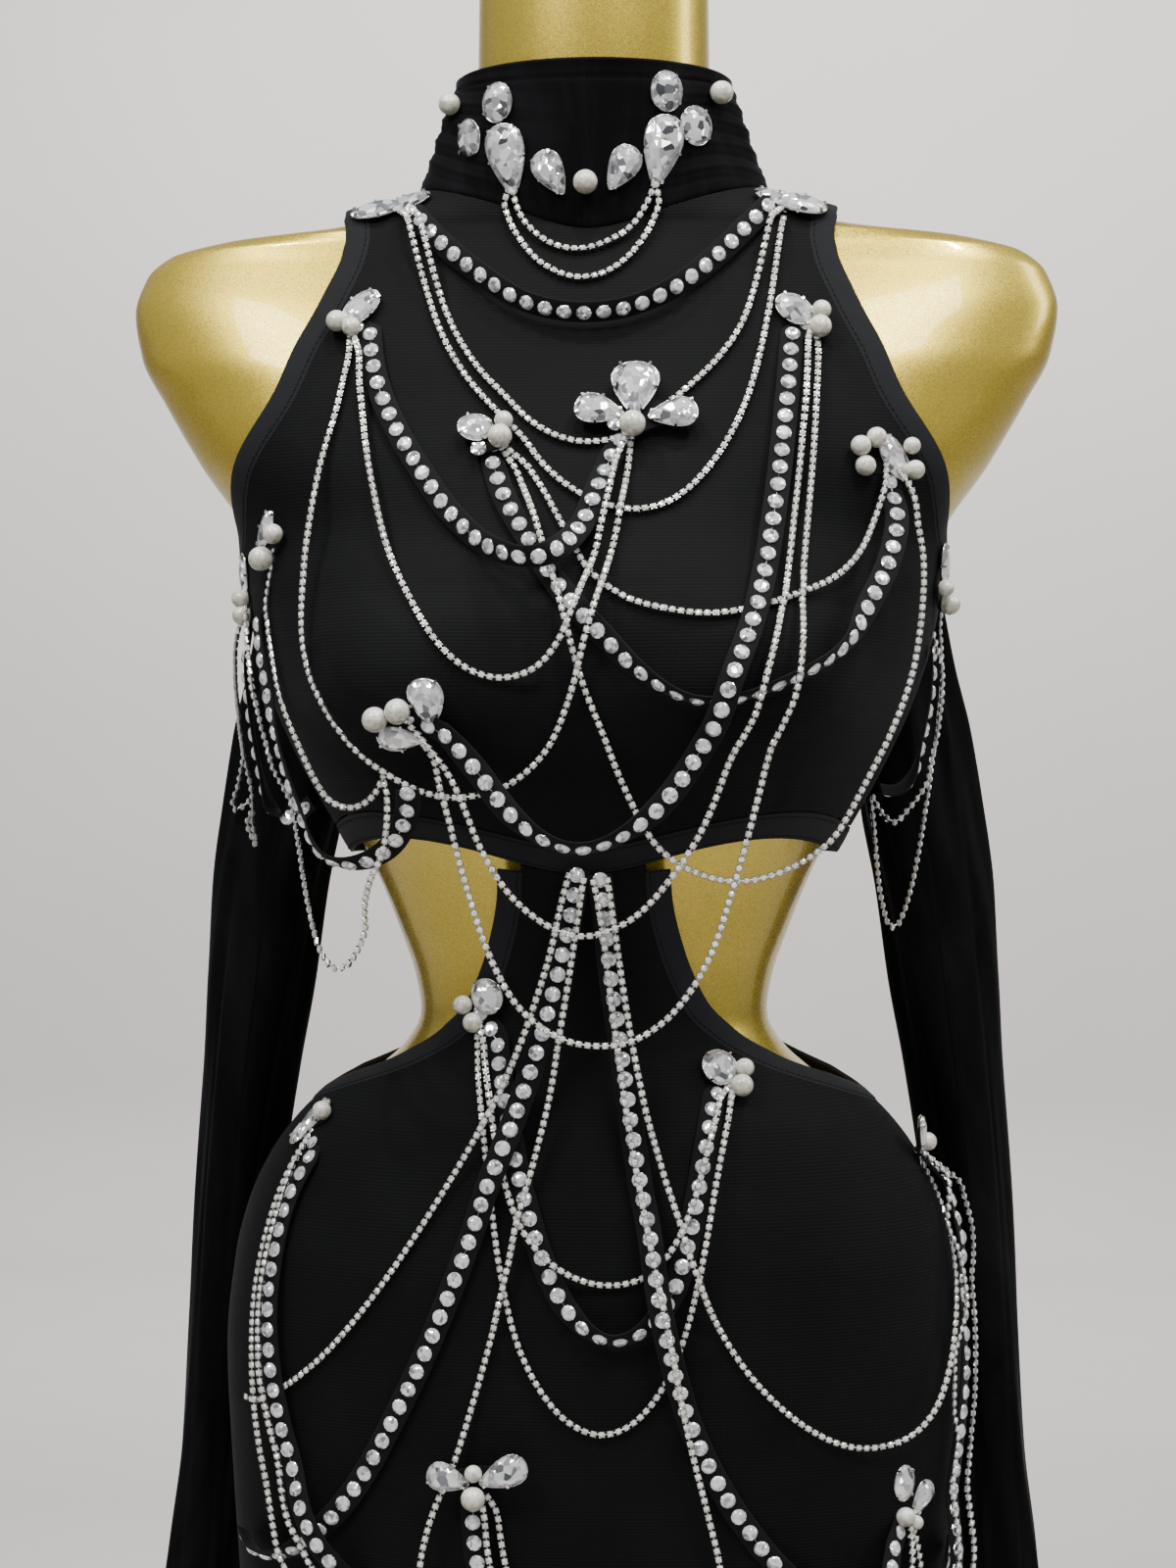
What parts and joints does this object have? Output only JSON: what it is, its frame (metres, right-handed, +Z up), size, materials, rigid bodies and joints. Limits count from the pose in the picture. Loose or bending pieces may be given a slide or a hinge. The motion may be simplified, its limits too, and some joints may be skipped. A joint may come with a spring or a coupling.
{
  "type": "halter dress on a dress form",
  "caption": "Black halter dress with a high collar, waist cut-outs, hanging sleeves and crystal drapes, on a gold dress form and round stand.",
  "frame": {"origin": "centre of the bounding box at the underside of the stand's base, on the floor", "axes": "+Z up, the dress faces -Y, +X is towards the right side of the picture, which is the wearer's left"},
  "size_m": [0.449, 0.344, 1.5801],
  "materials": {
    "knit": "finely ribbed stretch knit",
    "velvet": "stretch velvet",
    "binding": "matte elastic tape",
    "gold": "gold metallic lacquer",
    "chrome": "polished",
    "crystal": "foil-backed crystal and pearl",
    "chain": "silver cup chain with crystals"
  },
  "bodies": {
    "root": {"bodice_front": "knit", "bodice_back": "knit", "skirt_front": "knit", "skirt_back": "knit", "underbust_band": "binding", "armhole_binding_left": "binding", "armhole_binding_right": "binding", "cutout_binding_left": "binding", "cutout_binding_right": "binding", "collar": "velvet", "sleeve_left": "velvet", "sleeve_right": "velvet", "dress_form": "gold", "stand": "chrome", "strap_necklace": "binding", "strap_chest_right": "binding", "strap_chest_left": "binding", "strap_long": "binding", "strap_under_arm_left": "binding", "strap_side_right": "binding", "strap_side_left": "binding", "strap_sweep_left": "binding", "strap_sweep_right": "binding", "strap_waist": "binding", "strap_hip_left": "binding", "strap_hip_right": "binding", "strap_thigh": "binding", "chains_neck": "chain", "chains_chest_right": "chain", "chains_chest_left": "chain", "chains_long": "chain", "chains_under_arm_left": "chain", "chains_side_right": "chain", "chains_side_left": "chain", "chains_waist": "chain", "chains_hip_left": "chain", "chains_hip_right": "chain", "chains_thigh": "chain", "chains_collar": "chain", "chain_sweep_left": "chain", "chain_sweep_right": "chain", "chain_drop": "chain", "brooch_shoulder_left": "crystal", "brooch_shoulder_right": "crystal", "brooch_chest_left": "crystal", "brooch_flower": "crystal", "brooch_chest_centre": "crystal", "brooch_right_bust": "crystal", "brooch_chest_right": "crystal", "brooch_under_bust": "crystal", "brooch_side_left": "crystal", "brooch_arm_left": "crystal", "brooch_arm_right": "crystal", "brooch_waist_left": "crystal", "brooch_waist_right": "crystal", "brooch_hip_left": "crystal", "brooch_hip_right": "crystal", "brooch_thigh_left": "crystal", "brooch_thigh_right": "crystal"}
  },
  "joints": []
}
